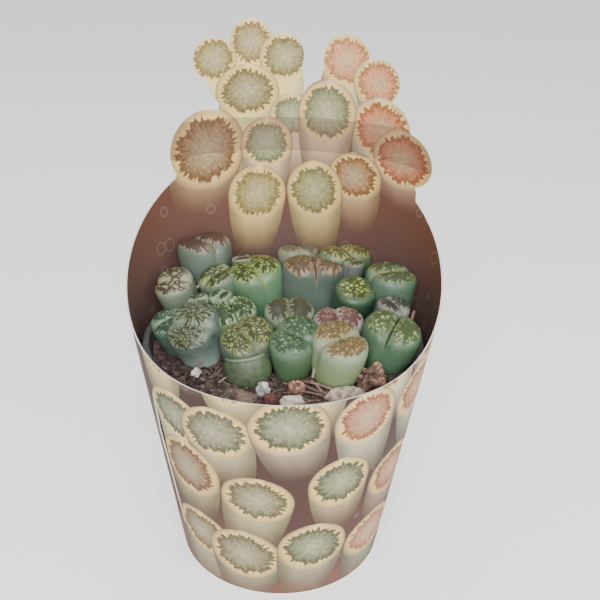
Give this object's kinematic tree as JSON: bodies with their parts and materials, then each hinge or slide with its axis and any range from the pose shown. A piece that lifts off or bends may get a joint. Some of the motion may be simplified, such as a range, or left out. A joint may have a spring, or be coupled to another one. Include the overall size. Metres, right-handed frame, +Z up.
{
  "type": "potted living stone succulents in a printed card sleeve",
  "caption": "Cluster of living stone succulents in a round plastic pot of compost, standing in a tapered card sleeve with a low front and a tall lobed back.",
  "frame": {"origin": "middle of the flat underside of the pot's base, on the ground", "axes": "+Z up, -Y towards the low front of the sleeve, +Y towards its tall back, +X to the right seen from the front"},
  "size_m": [0.096, 0.1032, 0.1614],
  "materials": {
    "sleeve_card": "satin",
    "pot_plastic": "satin",
    "compost": "matte",
    "leaf_blue": "satin",
    "leaf_green": "satin",
    "leaf_pale": "satin",
    "leaf_purple": "satin",
    "leaf_old": "matte",
    "light_stone": "matte",
    "dark_stone": "matte",
    "bark": "matte"
  },
  "bodies": {
    "root": {"sleeve": "sleeve_card", "pot": "pot_plastic", "soil": "compost", "body_back_left": "leaf_blue", "body_left_pale": "leaf_pale", "body_left_small": "leaf_blue", "body_front_left": "leaf_blue", "body_left_bud": "leaf_green", "body_mottled": "leaf_green", "body_mottled_bud": "leaf_green", "body_slanted": "leaf_green", "body_bright": "leaf_green", "body_dark_bud": "leaf_purple", "body_yellow": "leaf_green", "body_dark_window": "leaf_green", "body_front_middle": "leaf_green", "body_front_right": "leaf_pale", "body_purple": "leaf_purple", "body_right": "leaf_green", "body_grey_bud": "leaf_purple", "body_lime": "leaf_green", "body_tallest": "leaf_blue", "body_behind": "leaf_blue", "body_back_right": "leaf_green", "body_back_bud": "leaf_blue", "body_far_right": "leaf_green", "old_leaf": "leaf_old", "perlite_grain": "light_stone", "pumice_stone": "light_stone", "pink_chunk": "dark_stone", "white_stone": "light_stone", "brown_stone": "dark_stone", "red_stone": "dark_stone", "bark_chunk": "bark", "white_grain": "light_stone"}
  },
  "joints": []
}
